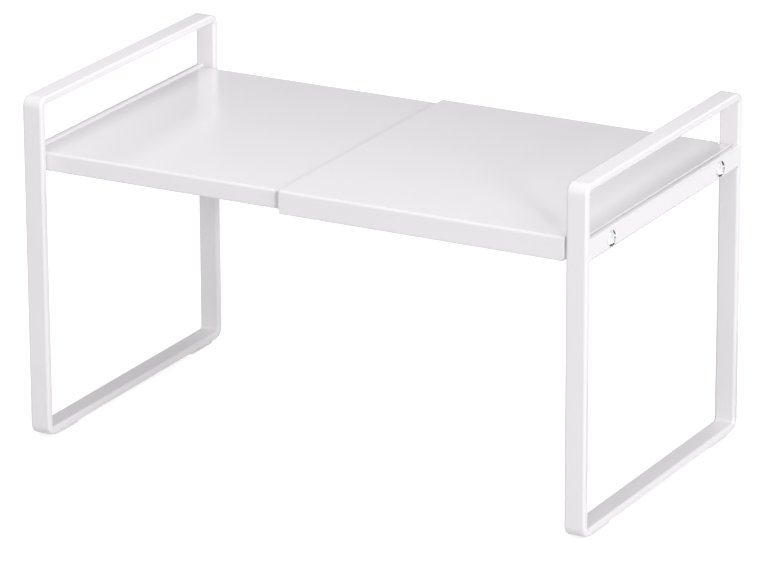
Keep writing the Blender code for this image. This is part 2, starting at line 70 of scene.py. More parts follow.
# Studio
# A seamless white sheet under the shelf and a white room round it, lit by large soft boxes.
# The sheet looks white to the camera and in reflections, and keeps the shelf's soft shadow.
FLOOR_SIDE = 12
FLOOR_LIFT = 0.72
ROOM_FILL = 0.50
WHITE = "#FFFFFF"
PAPER_SHADE = "#C4C4C4"
PAPER_ROUGHNESS = 0.9


def linear(hex_colour):
    """A colour written as sRGB hex, in the linear values that shaders take."""
    shares = [int(hex_colour[start:start + 2], 16) / 255 for start in (1, 3, 5)]
    return [share / 12.92 if share <= 0.04045 else ((share + 0.055) / 1.055) ** 2.4 for share in shares] + [1]


def add_node(tree, kind, inputs=None, **settings):
    """Adds a node with its settings, and sets or links its inputs."""
    node = tree.nodes.new(kind)
    for name, value in settings.items():
        setattr(node, name, value)
    for name, value in (inputs or {}).items():
        if isinstance(value, bpy.types.NodeSocket):
            tree.links.new(value, node.inputs[name])
        else:
            node.inputs[name].default_value = value
    return node


def seen_share(tree):
    """One for a ray that shows the background to the camera or in a reflection, zero for other light."""
    path = add_node(tree, "ShaderNodeLightPath").outputs
    seen = {0: path["Is Camera Ray"], 1: path["Is Glossy Ray"]}
    shown = add_node(tree, "ShaderNodeMath", seen, operation="ADD")
    clear = {0: shown.outputs[0], 1: path["Is Transmission Ray"]}
    return add_node(tree, "ShaderNodeMath", clear, operation="ADD", use_clamp=True).outputs[0]


def make_paper(name, shade):
    """Uncoated paper or card from the roll: one even shade, quite matt."""
    paper = bpy.data.materials.new(name)
    paper.use_nodes = True
    shader = paper.node_tree.nodes["Principled BSDF"]
    shader.inputs["Base Color"].default_value = linear(shade)
    shader.inputs["Roughness"].default_value = PAPER_ROUGHNESS
    return paper


bpy.ops.object.select_all(action="DESELECT")
bpy.ops.mesh.primitive_plane_add(size=FLOOR_SIDE)
floor = bpy.context.object
floor.name = "white_sheet"
floor_paper = make_paper("white_seamless_paper", PAPER_SHADE)
tree = floor_paper.node_tree
paper = tree.nodes["Principled BSDF"]
glow = add_node(tree, "ShaderNodeEmission", {"Color": linear(WHITE), "Strength": FLOOR_LIFT})
dark = add_node(tree, "ShaderNodeEmission", {"Strength": 0.0})
lift = add_node(tree, "ShaderNodeMixShader", {0: seen_share(tree), 1: dark.outputs[0], 2: glow.outputs[0]})
both = add_node(tree, "ShaderNodeAddShader", {0: paper.outputs[0], 1: lift.outputs[0]})
tree.links.new(both.outputs[0], tree.nodes["Material Output"].inputs["Surface"])
floor.data.materials.append(floor_paper)

room = bpy.data.worlds.new("white_room")
room.use_nodes = True
bpy.context.scene.world = room
tree = room.node_tree
fill = add_node(tree, "ShaderNodeBackground", {"Color": linear(WHITE), "Strength": ROOM_FILL})
shown = add_node(tree, "ShaderNodeBackground", {"Color": linear(WHITE), "Strength": 1.0})
mixed = add_node(tree, "ShaderNodeMixShader", {0: seen_share(tree), 1: fill.outputs[0], 2: shown.outputs[0]})
tree.links.new(mixed.outputs[0], tree.nodes["World Output"].inputs["Surface"])

# Cards that only reflections show: place, length, width, turn and shade. Two stand behind, where the level
# tops mirror them: the black one for the trays and the upper bars, the grey one for the lower bars. Two lie
# on the sheet, where the screws' domes mirror them.
CARDS = {
    "black_standing_card": ((-0.30, 0.55, 0.335), 1.8, 0.17, math.pi / 2, "#202020"),
    "grey_standing_card": ((-0.30, 0.56, 0.19), 1.8, 0.12, math.pi / 2, "#A2A2A2"),
    "back_lying_card": ((0.19, 0.35, 0.002), 0.22, 0.42, 0, "#6A6A6A"),
    "side_lying_card": ((0.32, 0.12, 0.002), 0.13, 0.36, 0, "#6A6A6A"),
}
for name, (place, length, width, turn, shade) in CARDS.items():
    bpy.ops.object.select_all(action="DESELECT")
    bpy.ops.mesh.primitive_plane_add(size=1, location=place, rotation=(turn, 0, 0))
    card = bpy.context.object
    card.name = name
    card.scale = (length, width, 1)
    for setting in ("visible_camera", "visible_diffuse", "visible_shadow"):
        setattr(card, setting, False)
    card.data.materials.append(make_paper(name + "_paper", shade))

# Soft boxes: place, side in metres and power in watts. Each faces the middle of the shelf.
SOFT_BOXES = {
    "key_box": ((3.9, -3.4, 1.3), 0.9, 103.0),
    "right_high_box": ((3.6, -0.8, 3.1), 2.4, 46.0),
    "front_high_box": ((0.4, -3.0, 3.7), 2.4, 18.0),
    "top_box": ((0.0, 0.0, 4.7), 2.4, 50.0),
}
SHELF_MIDDLE = (0.0, 0.0, 0.12)
for name, (place, side, power) in SOFT_BOXES.items():
    lamp = bpy.data.objects.new(name, bpy.data.lights.new(name, "AREA"))
    lamp.data.size = side
    lamp.data.energy = power
    lamp.location = place
    aim = Vector(SHELF_MIDDLE) - lamp.location
    lamp.rotation_euler = aim.to_track_quat("-Z", "Y").to_euler()
    bpy.context.collection.objects.link(lamp)

# Leg frames
# Each is one length of 16 x 6 mm flat steel tube, bent at four corners, butt welded into a closed loop,
# ground smooth and powder coated. The loop's sides stand up past the shelf as a handle.
TUBE_WIDTH = 0.016
TUBE_THICKNESS = 0.006
TUBE_EDGE_RADIUS = 0.002
BEND_RADIUS = 0.008
BEND_STEPS = 24
EDGE_STEPS = 8
WELD_CLOSE = 0.00001
SMOOTH_TURN = 32
LEVEL_WEIGHT = 100

# White powder coat: sprayed polyester powder, baked. It is half glossy, with a faint orange peel 2 mm across.
COAT_SHADES = ("#EFECEF", "#F1EEF1")
COAT_PATCH = 0.045
PEEL_SPACING = 0.002
PEEL_DEPTH = 0.000004
COAT_GLOSS = (0.20, 0.24)
PATCH_DETAIL = 3.0
GRAIN_DETAIL = 1.0


def make_finish(name, shades, patch, gloss, grain, relief, metal=0.0):
    """A finish whose shade drifts over patches, and whose gloss and height follow a finer grain."""
    finish = bpy.data.materials.new(name)
    finish.use_nodes = True
    tree = finish.node_tree
    shader = tree.nodes["Principled BSDF"]
    shader.inputs["Metallic"].default_value = metal
    place = add_node(tree, "ShaderNodeTexCoord").outputs["Object"]
    broad = {"Vector": place, "Scale": 1 / patch, "Detail": PATCH_DETAIL}
    patches = add_node(tree, "ShaderNodeTexNoise", broad)
    # A Mix node's colours are its inputs 6 and 7 and its output 2
    mixed = {0: patches.outputs[0], 6: linear(shades[0]), 7: linear(shades[1])}
    tint = add_node(tree, "ShaderNodeMix", mixed, data_type="RGBA")
    tree.links.new(tint.outputs[2], shader.inputs["Base Color"])
    small = {"Vector": place, "Scale": 1 / grain, "Detail": GRAIN_DETAIL}
    fine = add_node(tree, "ShaderNodeTexNoise", small)
    spread = {"Value": fine.outputs[0], "To Min": gloss[0], "To Max": gloss[1]}
    tree.links.new(add_node(tree, "ShaderNodeMapRange", spread).outputs[0], shader.inputs["Roughness"])
    bump = add_node(tree, "ShaderNodeBump", {"Height": fine.outputs[0], "Strength": 1.0, "Distance": relief})
    tree.links.new(bump.outputs[0], shader.inputs["Normal"])
    return finish


def settle(name):
    """Names the new piece and puts its place and turn into its mesh, ready for edit mode."""
    piece = bpy.context.object
    piece.name = name
    bpy.ops.object.transform_apply(location=True, rotation=True, scale=True)
    bpy.ops.object.mode_set(mode="EDIT")
    return piece


def add_plane(name, centre, length, width, turn=(0, 0, 0)):
    """A flat rectangle at its place, ready to be shaped in edit mode in world coordinates."""
    bpy.ops.object.select_all(action="DESELECT")
    bpy.ops.mesh.primitive_plane_add(size=1, location=centre, rotation=turn)
    bpy.context.object.scale = (length, width, 1)
    return settle(name)


def draw_out(move):
    """Draws the selected edges out straight; the far edges are left selected."""
    bpy.ops.mesh.extrude_edges_move(TRANSFORM_OT_translate={"value": move})


def bend(centre, axis, angle, steps):
    """Draws the selected edges round a bend; the far edges are left selected. Spin turns left-handed."""
    bpy.ops.mesh.spin(steps=steps, angle=-angle, center=centre, axis=axis)


def close_seams():
    """Joins the points where stretches meet and turns all faces outwards."""
    bpy.ops.mesh.select_all(action="SELECT")
    bpy.ops.mesh.remove_doubles(threshold=WELD_CLOSE)
    bpy.ops.mesh.normals_make_consistent(inside=False)


def take_up(piece):
    """Leaves edit mode and makes the piece the only selected one."""
    if bpy.context.object and bpy.context.object.mode == "EDIT":
        bpy.ops.object.mode_set(mode="OBJECT")
    bpy.ops.object.select_all(action="DESELECT")
    piece.select_set(True)
    bpy.context.view_layer.objects.active = piece


def copy_piece(piece, name, move=(0, 0, 0), turn_at=None):
    """A copy with its own mesh, moved along, or turned half round an upright axis through a place."""
    take_up(piece)
    bpy.ops.object.duplicate()
    twin = bpy.context.object
    twin.name = name
    bpy.ops.object.mode_set(mode="EDIT")
    bpy.ops.mesh.select_all(action="SELECT")
    if turn_at:
        bpy.ops.transform.rotate(value=math.pi, orient_axis="Z", center_override=turn_at)
    bpy.ops.transform.translate(value=move)
    bpy.ops.object.mode_set(mode="OBJECT")
    return twin


def finish_piece(piece, material, body, slot, *nodes):
    """Applies the modifiers, smooths the curves, gives the finish and puts the piece on its body."""
    take_up(piece)
    for modifier in list(piece.modifiers):
        bpy.ops.object.modifier_apply(modifier=modifier.name)
    bpy.ops.object.shade_smooth_by_angle(angle=math.radians(SMOOTH_TURN))
    level = piece.modifiers.new("level", "WEIGHTED_NORMAL")
    level.weight = LEVEL_WEIGHT
    level.keep_sharp = True
    bpy.ops.object.modifier_apply(modifier=level.name)
    piece.data.materials.clear()
    piece.data.materials.append(material)
    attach(piece, body)
    if nodes:
        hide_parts(*nodes)


white_coat = make_finish("white_powder_coat", COAT_SHADES, COAT_PATCH, COAT_GLOSS, PEEL_SPACING, PEEL_DEPTH)
low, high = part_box("right_leg_frame")
middle_x = (low[0] + high[0]) / 2
bar_centre = (middle_x, 0, low[2] + TUBE_THICKNESS / 2)
loop = add_plane("right_loop", bar_centre, TUBE_WIDTH, TUBE_THICKNESS, (math.pi / 2, 0, 0))
bpy.ops.mesh.bevel(offset=TUBE_EDGE_RADIUS, segments=EDGE_STEPS, affect="VERTICES")
bpy.ops.mesh.select_all(action="SELECT")
bpy.ops.mesh.delete(type="ONLY_FACE")
bpy.ops.mesh.select_all(action="SELECT")
bends = (
    (high[1] - BEND_RADIUS, low[2] + BEND_RADIUS),
    (high[1] - BEND_RADIUS, high[2] - BEND_RADIUS),
    (low[1] + BEND_RADIUS, high[2] - BEND_RADIUS),
    (low[1] + BEND_RADIUS, low[2] + BEND_RADIUS),
)
depth_run = high[1] - low[1] - BEND_RADIUS - BEND_RADIUS
height_run = high[2] - low[2] - BEND_RADIUS - BEND_RADIUS
runs = ((0, 0, height_run), (0, -depth_run, 0), (0, 0, -height_run), (0, depth_run / 2, 0))
draw_out((0, depth_run / 2, 0))
for (y, z), run in zip(bends, runs):
    bend((middle_x, y, z), (1, 0, 0), math.pi / 2, BEND_STEPS)
    draw_out(run)
close_seams()
left_loop = copy_piece(loop, "left_loop", turn_at=(0, 0, 0))
finish_piece(loop, white_coat, "outer_half", "powder_coat", "right_leg_frame")
finish_piece(left_loop, white_coat, "inner_half", "powder_coat", "left_leg_frame")

# Cross rails
# A straight piece of the same tube stands on edge between the legs of each loop, flush with its outer side.
# Its ends are welded to the legs: a small fillet above, below and inside, and ground flat on the outer side.
WELD_RADIUS = 0.0009
WELD_STEPS = 6
RAIL_BOLT_HOLE = 0.0033
ROUND_CORNERS = 64
CLOSE = 0.000001


def near(value, target):
    """Whether two places agree."""
    return abs(value - target) < CLOSE


def pick(piece, kind, test):
    """Selects the piece's vertices, edges or faces whose every corner passes a test on its place."""
    bpy.ops.mesh.select_mode(type=kind)
    bpy.ops.mesh.select_all(action="DESELECT")
    mesh = bmesh.from_edit_mesh(piece.data)
    items = {"VERT": mesh.verts, "EDGE": mesh.edges, "FACE": mesh.faces}[kind]
    for item in items:
        corners = [item] if kind == "VERT" else item.verts
        if all(test(corner.co) for corner in corners):
            item.select_set(True)
    mesh.select_flush_mode()
    bmesh.update_edit_mesh(piece.data)


def draw_face(move):
    """Draws the selected face out straight; the far face is left selected."""
    bpy.ops.mesh.extrude_region_move(TRANSFORM_OT_translate={"value": move})


def combine(piece, tool, operation="DIFFERENCE"):
    """Cuts a tool out of the piece, or keeps only what they share, and removes the tool."""
    take_up(piece)
    step = piece.modifiers.new("combine", "BOOLEAN")
    step.operation = operation
    step.object = tool
    bpy.ops.object.modifier_apply(modifier=step.name)
    bpy.data.objects.remove(tool, do_unlink=True)


def add_round(name, radius, start, end, y, z, corners=ROUND_CORNERS):
    """A round bar along X from start to end, or a hexagonal one with six corners."""
    if bpy.context.object and bpy.context.object.mode == "EDIT":
        bpy.ops.object.mode_set(mode="OBJECT")
    bpy.ops.object.select_all(action="DESELECT")
    place = {"location": ((start + end) / 2, y, z), "rotation": (0, math.pi / 2, 0)}
    bpy.ops.mesh.primitive_cylinder_add(vertices=corners, radius=radius, depth=end - start, **place)
    return settle(name)


def drill(piece, radius, start, end, bolt):
    """Drills a round hole along X through the piece, on a screw's axis."""
    bolt_low, bolt_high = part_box(bolt)
    bolt_y = (bolt_low[1] + bolt_high[1]) / 2
    bolt_z = (bolt_low[2] + bolt_high[2]) / 2
    combine(piece, add_round("drill", radius, start, end, bolt_y, bolt_z))


low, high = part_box("right_cross_rail")
rail_height = high[2] - low[2]
centre = ((low[0] + high[0]) / 2, 0, (low[2] + high[2]) / 2)
leg_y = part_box("right_leg_frame")[1][1] - TUBE_THICKNESS
plain_y = leg_y - WELD_RADIUS
rail_end = (centre[0], -plain_y, centre[2])
rail = add_plane("right_rail", rail_end, TUBE_THICKNESS, rail_height, (math.pi / 2, 0, 0))
bpy.ops.mesh.bevel(offset=TUBE_EDGE_RADIUS, segments=EDGE_STEPS, affect="VERTICES")
bpy.ops.mesh.select_all(action="SELECT")
draw_face((0, plain_y + plain_y, 0))
close_seams()
for way in (-1, 1):
    pick(rail, "FACE", lambda place: near(place.y, way * plain_y))
    run = 0
    flare = 0
    for step in range(1, WELD_STEPS + 1):
        turn = math.pi / 2 * step / WELD_STEPS
        new_run = WELD_RADIUS * math.sin(turn)
        new_flare = WELD_RADIUS * (1 - math.cos(turn))
        draw_face((0, way * (new_run - run), 0))
        deeper = (TUBE_THICKNESS + new_flare) / (TUBE_THICKNESS + flare)
        taller = (rail_height + new_flare + new_flare) / (rail_height + flare + flare)
        bpy.ops.transform.resize(value=(deeper, 1, taller), center_override=(high[0], 0, centre[2]))
        run = new_run
        flare = new_flare
    draw_face((0, way * TUBE_EDGE_RADIUS, 0))
close_seams()
for side in ("front", "back"):
    drill(rail, RAIL_BOLT_HOLE, low[0] - WELD_RADIUS, high[0] + WELD_RADIUS, "right_" + side + "_screw")
left_rail = copy_piece(rail, "left_rail", turn_at=(0, 0, 0))
finish_piece(rail, white_coat, "outer_half", "powder_coat", "right_cross_rail")
finish_piece(left_rail, white_coat, "inner_half", "powder_coat", "left_cross_rail")

# Trays
# Both are folded from 0.6 mm steel sheet: a flat top, a flange turned down on each side and a lip turned in.
# The larger tray's flanges end in a hem at the seam and in a short return at the right legs.
SHEET = 0.0006
FOLD_RADIUS = 0.002
LIP_RADIUS = 0.0015
END_FOLD_RADIUS = 0.0012
FOLD_STEPS = 16
LIP_STEPS = 12
CUT_EDGE = 0.00012
CUT_TURN = 60
CUT_STEPS = 2
SHARP_TURN = 50
BREAK_STEPS = 3
CORNER_RADIUS = 0.002
HEM_RADIUS = 0.0009
HEM_RETURN = 0.0051
HEM_MARGIN = 0.0012
OUTER_LIP = 0.008
INNER_LIP = 0.006
LEG_RETURN = 0.0042
OUTER_END_FLANGE = 0.0155
INNER_END_FLANGE = 0.013
INNER_FREE_FLANGE = 0.008
CORNER_RELIEF = 0.001
LEG_GAP = 0.002
RAIL_SEAT = 0.00028


def cut_lines(*lines):
    """Cuts the flat sheet along lines, each a place and the way across it."""
    for point, across in lines:
        bpy.ops.mesh.select_all(action="SELECT")
        bpy.ops.mesh.bisect(plane_co=point, plane_no=across)


def round_corners(piece, test):
    """Rounds the sheet's free corners that pass a test on their place."""
    pick(piece, "VERT", test)
    bpy.ops.mesh.bevel(offset=CORNER_RADIUS, segments=EDGE_STEPS, affect="VERTICES")


def break_edges(piece, width, least_turn=SHARP_TURN, steps=BREAK_STEPS):
    """Rounds every edge that turns by more than some degrees, as deburring, tumbling or the mould does."""
    edge = piece.modifiers.new("edge", "BEVEL")
    edge.width = width
    edge.segments = steps
    edge.limit_method = "ANGLE"
    edge.angle_limit = math.radians(least_turn)


def finish_tray(piece, body, node, bolts):
    """Mirrors the folded front half, gives the sheet its thickness, drills it and breaks the cut edges."""
    close_seams()
    bpy.ops.object.mode_set(mode="OBJECT")
    top = max(piece.data.polygons, key=lambda face: face.area)
    if top.normal.z < 0:
        piece.data.flip_normals()
    mirror = piece.modifiers.new("mirror", "MIRROR")
    mirror.use_axis = (False, True, False)
    mirror.merge_threshold = WELD_CLOSE
    wall = piece.modifiers.new("wall", "SOLIDIFY")
    wall.thickness = SHEET
    wall.offset = -1
    wall.use_even_offset = True
    for modifier in ("mirror", "wall"):
        bpy.context.view_layer.objects.active = piece
        bpy.ops.object.modifier_apply(modifier=modifier)
    for bolt in bolts:
        bolt_low, bolt_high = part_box(bolt)
        drill(piece, RAIL_BOLT_HOLE, bolt_low[0], bolt_high[0], bolt)
    break_edges(piece, CUT_EDGE, CUT_TURN, CUT_STEPS)
    finish_piece(piece, white_coat, body, "powder_coat", node)


low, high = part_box("outer_tray")
neck_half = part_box("inner_tray")[1][1]
top = high[2]
half = high[1]
free_x = low[0] + HEM_RADIUS
fold_x = high[0] + RAIL_SEAT - END_FOLD_RADIUS
shoulder_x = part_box("right_leg_frame")[0][0] - LEG_GAP
leg_x = shoulder_x - LIP_RADIUS
fold_y = FOLD_RADIUS - half
centre = ((free_x + fold_x) / 2, fold_y / 2, top)
tray = add_plane("outer_tray_sheet", centre, fold_x - free_x, -fold_y)
across_x = (1, 0, 0)
across_y = (0, 1, 0)
cut_lines(((leg_x, 0, top), across_x), ((shoulder_x, 0, top), across_x), ((0, -neck_half, top), across_y))
pick(tray, "FACE", lambda place: place.x > shoulder_x - CLOSE and place.y < CLOSE - neck_half)
bpy.ops.mesh.delete(type="FACE")
pick(tray, "EDGE", lambda place: near(place.y, fold_y))
bend((0, fold_y, top - FOLD_RADIUS), (1, 0, 0), math.pi / 2, FOLD_STEPS)
pick(tray, "EDGE", lambda place: near(place.z, top - FOLD_RADIUS) and place.x < leg_x + CLOSE)
flange_run = top - low[2] - FOLD_RADIUS - LIP_RADIUS
for run in (HEM_MARGIN, flange_run - HEM_MARGIN - HEM_MARGIN, HEM_MARGIN):
    draw_out((0, 0, -run))
lip_z = low[2] + LIP_RADIUS
bend((0, LIP_RADIUS - half, lip_z), (1, 0, 0), math.pi / 2, LIP_STEPS)
draw_out((0, OUTER_LIP - LIP_RADIUS, 0))
upright_z = top - FOLD_RADIUS
for place_x, margin, radius, axis, angle, run in (
    (free_x, HEM_MARGIN, HEM_RADIUS, (0, 0, -1), math.pi, (HEM_RETURN, 0, 0)),
    (leg_x, 0, LIP_RADIUS, (0, 0, 1), math.pi / 2, (0, LEG_RETURN - LIP_RADIUS, 0)),
):
    upright_low = lip_z + margin - CLOSE
    upright_high = upright_z - margin + CLOSE
    pick(tray, "EDGE", lambda place: near(place.x, place_x) and upright_low < place.z < upright_high)
    bend((place_x, radius - half, 0), axis, angle, LIP_STEPS)
    draw_out(run)
closed_y = SHEET - half
pick(tray, "EDGE", lambda place: near(place.z, upright_z) and place.x > leg_x + CLOSE and place.y > closed_y)
draw_out((0, 0, FOLD_RADIUS - SHEET))
pick(tray, "EDGE", lambda place: near(place.x, fold_x))
bend((fold_x, 0, top - END_FOLD_RADIUS), (0, 1, 0), math.pi / 2, FOLD_STEPS)
draw_out((0, 0, END_FOLD_RADIUS - OUTER_END_FLANGE))
round_corners(tray, lambda place: near(place.y, OUTER_LIP - half) and near(place.z, low[2]))
round_corners(tray, lambda place: near(place.y, LEG_RETURN - half) and near(place.z, lip_z))
round_corners(tray, lambda place: near(place.z, top - OUTER_END_FLANGE) and near(place.y, -neck_half))
finish_tray(tray, "outer_half", "outer_tray", ("right_front_screw", "right_back_screw"))

low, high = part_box("inner_tray")
top = high[2]
half = high[1]
bolted_x = low[0] - RAIL_SEAT + END_FOLD_RADIUS
far_x = high[0] - END_FOLD_RADIUS
fold_y = FOLD_RADIUS - half
relief_y = fold_y + CORNER_RELIEF
side_low = bolted_x + CORNER_RELIEF
side_high = far_x - CORNER_RELIEF
centre = ((bolted_x + far_x) / 2, fold_y / 2, top)
tray = add_plane("inner_tray_sheet", centre, far_x - bolted_x, -fold_y)
cut_lines(((side_low, 0, top), across_x), ((side_high, 0, top), across_x), ((0, relief_y, top), across_y))
pick(tray, "EDGE", lambda place: near(place.y, fold_y) and side_low - CLOSE < place.x < side_high + CLOSE)
bend((0, fold_y, top - FOLD_RADIUS), (1, 0, 0), math.pi / 2, FOLD_STEPS)
draw_out((0, 0, low[2] + LIP_RADIUS + FOLD_RADIUS - top))
bend((0, LIP_RADIUS - half, low[2] + LIP_RADIUS), (1, 0, 0), math.pi / 2, LIP_STEPS)
draw_out((0, INNER_LIP - LIP_RADIUS, 0))
round_corners(tray, lambda place: near(place.y, INNER_LIP - half) and near(place.z, low[2]))
for x, way, flange in ((bolted_x, -1, INNER_END_FLANGE), (far_x, 1, INNER_FREE_FLANGE)):
    pick(tray, "EDGE", lambda place: near(place.x, x) and near(place.z, top) and place.y > relief_y - CLOSE)
    bend((x, 0, top - END_FOLD_RADIUS), (0, way, 0), math.pi / 2, FOLD_STEPS)
    draw_out((0, 0, END_FOLD_RADIUS - flange))
    round_corners(tray, lambda place: near(place.z, top - flange) and near(place.y, relief_y))
finish_tray(tray, "inner_half", "inner_tray", ("left_front_screw", "left_back_screw"))

# Button head screws
# Two M6 screws of 14 mm, with a 4 mm hexagon socket, pull each tray's end flange to its rail.
# They are cold headed from steel wire and their thread is rolled.
HEAD_RIM = 0.0006
HEAD_LAND = 0.0026
DOME_STEPS = 14
THREAD_CORE = 0.00255
THREAD_CREST = 0.003
THREAD_PITCH = 0.001
THREAD_ROOT_WIDTH = 0.00084
THREAD_CREST_WIDTH = 0.00014
THREAD_TURNS = 12
THREAD_STEPS = 32
THREAD_END_SIDES = 4
SHANK_TIP = 0.0006
SOCKET_CORNER = 0.00231
SOCKET_DEPTH = 0.0019
SOCKET_CONE = 0.0006
SOCKET_CONE_SHARE = 0.3
SCREW_EDGE = 0.00012
SCREW_TURN = 40
HEXAGON = 6

# Bright chrome: nickel and chrome plated over polished steel. It mirrors the room, with a faint haze.
CHROME_SHADES = ("#E4E6E9", "#EEEFF1")
CHROME_PATCH = 0.004
CHROME_GLOSS = (0.05, 0.09)
CHROME_GRAIN = 0.0015
CHROME_RELIEF = 0.000001


def taper(share, centre):
    """Draws the selected end in or out round an axis along X."""
    bpy.ops.transform.resize(value=(1, share, share), center_override=centre)


def finish_corners(piece, kind, material, slot):
    """Copies the right front piece to the shelf's other three corners, and finishes all four."""
    front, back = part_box("right_front_" + kind)
    across = front[1] + back[1]
    middle = (0, 0, 0)
    corners = {
        "right_front": piece,
        "right_back": copy_piece(piece, "right_back_solid_" + kind, move=(0, -across, 0)),
        "left_back": copy_piece(piece, "left_back_solid_" + kind, turn_at=middle),
        "left_front": copy_piece(piece, "left_front_solid_" + kind, move=(0, across, 0), turn_at=middle),
    }
    for corner, copy in corners.items():
        body = "outer_half" if corner.startswith("right") else "inner_half"
        finish_piece(copy, material, body, slot, corner + "_" + kind)


low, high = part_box("right_front_screw")
head_radius = (high[1] - low[1]) / 2
axis_y = (low[1] + high[1]) / 2
axis_z = (low[2] + high[2]) / 2
axis = (0, axis_y, axis_z)
seat_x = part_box("right_cross_rail")[1][0]
rim_x = seat_x + RAIL_SEAT + HEAD_RIM
rise = high[0] - rim_x
crown_back = (head_radius ** 2 - HEAD_LAND ** 2 - rise ** 2) / (rise + rise)
crown_radius = math.hypot(head_radius, crown_back)
crown_x = rim_x - crown_back
screw = add_round("right_front_solid_screw", head_radius, seat_x, rim_x, axis_y, axis_z)
pick(screw, "FACE", lambda place: near(place.x, rim_x))
turn_low = math.asin(head_radius / crown_radius)
turn_high = math.asin(HEAD_LAND / crown_radius)
x = rim_x
radius = head_radius
for step in range(1, DOME_STEPS + 1):
    turn = turn_low + (turn_high - turn_low) * step / DOME_STEPS
    new_x = crown_x + crown_radius * math.cos(turn)
    new_radius = crown_radius * math.sin(turn)
    draw_face((new_x - x, 0, 0))
    taper(new_radius / radius, axis)
    x = new_x
    radius = new_radius
pick(screw, "FACE", lambda place: near(place.x, seat_x))
draw_face((0, 0, 0))
taper(THREAD_CORE / head_radius, axis)
draw_face((low[0] + SHANK_TIP - seat_x, 0, 0))
draw_face((-SHANK_TIP, 0, 0))
taper(1 - SHANK_TIP / THREAD_CORE, axis)
close_seams()
socket_floor = high[0] - SOCKET_DEPTH
socket = add_round("socket", SOCKET_CORNER, socket_floor, high[0] + HEAD_RIM, axis_y, axis_z, HEXAGON)
pick(socket, "FACE", lambda place: near(place.x, socket_floor))
draw_face((-SOCKET_CONE, 0, 0))
taper(SOCKET_CONE_SHARE, axis)
combine(screw, socket)
break_edges(screw, SCREW_EDGE, SCREW_TURN, CUT_STEPS)
bpy.ops.object.modifier_apply(modifier="edge")

# The thread is one ridge wound round the core, from the tip to just under the head
root_depth = THREAD_CORE - SCREW_EDGE
ridge_height = THREAD_CREST - root_depth
ridge_centre = (0, 0, root_depth + ridge_height / 2)
ridge = add_plane("thread", ridge_centre, THREAD_ROOT_WIDTH, ridge_height, (math.pi / 2, 0, 0))
pick(ridge, "EDGE", lambda place: near(place.z, THREAD_CREST))
bpy.ops.transform.resize(value=(THREAD_CREST_WIDTH / THREAD_ROOT_WIDTH, 1, 1), center_override=(0, 0, 0))
bpy.ops.mesh.select_all(action="SELECT")
bpy.ops.mesh.delete(type="ONLY_FACE")
bpy.ops.object.mode_set(mode="OBJECT")
winding = ridge.modifiers.new("winding", "SCREW")
winding.axis = "X"
winding.screw_offset = THREAD_PITCH
winding.iterations = THREAD_TURNS
winding.steps = THREAD_STEPS
winding.render_steps = THREAD_STEPS
winding.use_merge_vertices = False
bpy.ops.object.modifier_apply(modifier=winding.name)
bpy.ops.object.mode_set(mode="EDIT")
bpy.ops.mesh.select_all(action="SELECT")
bpy.ops.mesh.fill_holes(sides=THREAD_END_SIDES)
bpy.ops.mesh.normals_make_consistent(inside=False)
bpy.ops.transform.translate(value=(low[0] + SHANK_TIP + THREAD_PITCH / 2, axis_y, axis_z))
take_up(ridge)
screw.select_set(True)
bpy.context.view_layer.objects.active = screw
bpy.ops.object.join()
chrome = make_finish(
    "bright_chrome", CHROME_SHADES, CHROME_PATCH, CHROME_GLOSS, CHROME_GRAIN, CHROME_RELIEF, metal=1.0
)
finish_corners(screw, "screw", chrome, "chrome_screw")

# Weld nuts
# A hexagon weld nut for each screw is projection welded to the back of the tray's end flange.
# It is pressed from steel, with a round collar and three small feet that melt into the sheet.
NUT_BORE = 0.00305
NUT_FACE_RADIUS = 0.00475
NUT_CHAMFER_SLOPE = 1.732
NUT_EDGE = 0.00025
NUT_EDGE_STEPS = 3
NUT_COLLAR_RADIUS = 0.0041
NUT_FOOT_RADIUS = 0.0008
NUT_FOOT_FROM_AXIS = 0.0048
NUT_FOOT_CORNERS = 24

# Clear zinc plate: a thin bluish silver plate over pressed steel, half matt, with small cloudy patches.
# The steel's grain is drawn at 0.6 mm, coarser than the real one, so that it shows.
ZINC_SHADES = ("#AEB3BA", "#C6CACF")
ZINC_PATCH = 0.0025
ZINC_GLOSS = (0.30, 0.42)
ZINC_GRAIN = 0.0006
ZINC_RELIEF = 0.000004

low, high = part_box("right_front_nut")
corner_radius = (high[1] - low[1]) / 2
flange_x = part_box("outer_tray")[1][0] + RAIL_SEAT - SHEET
nut = add_round("right_front_solid_nut", corner_radius, low[0], high[0], axis_y, axis_z, HEXAGON)
bpy.ops.mesh.select_mode(type="EDGE")
bpy.ops.mesh.select_all(action="DESELECT")
for edge in bmesh.from_edit_mesh(nut.data).edges:
    edge.select_set(not near(edge.verts[0].co.x, edge.verts[1].co.x))
bpy.ops.mesh.bevel(offset=NUT_EDGE, segments=NUT_EDGE_STEPS)
cone = add_round("chamfer", NUT_FACE_RADIUS, low[0], high[0], axis_y, axis_z)
pick(cone, "FACE", lambda place: near(place.x, high[0]))
taper(1 + NUT_CHAMFER_SLOPE * (high[0] - low[0]) / NUT_FACE_RADIUS, axis)
combine(nut, cone, "INTERSECT")
root_x = high[0] - SHEET
combine(nut, add_round("collar", NUT_COLLAR_RADIUS, root_x, flange_x, axis_y, axis_z), "UNION")
for turn in (0, math.tau / 3, -math.tau / 3):
    foot_y = axis_y + NUT_FOOT_FROM_AXIS * math.cos(turn)
    foot_z = axis_z + NUT_FOOT_FROM_AXIS * math.sin(turn)
    foot = add_round("foot", NUT_FOOT_RADIUS, root_x, flange_x, foot_y, foot_z, NUT_FOOT_CORNERS)
    combine(nut, foot, "UNION")
combine(nut, add_round("bore", NUT_BORE, low[0] - SHEET, flange_x + SHEET, axis_y, axis_z))
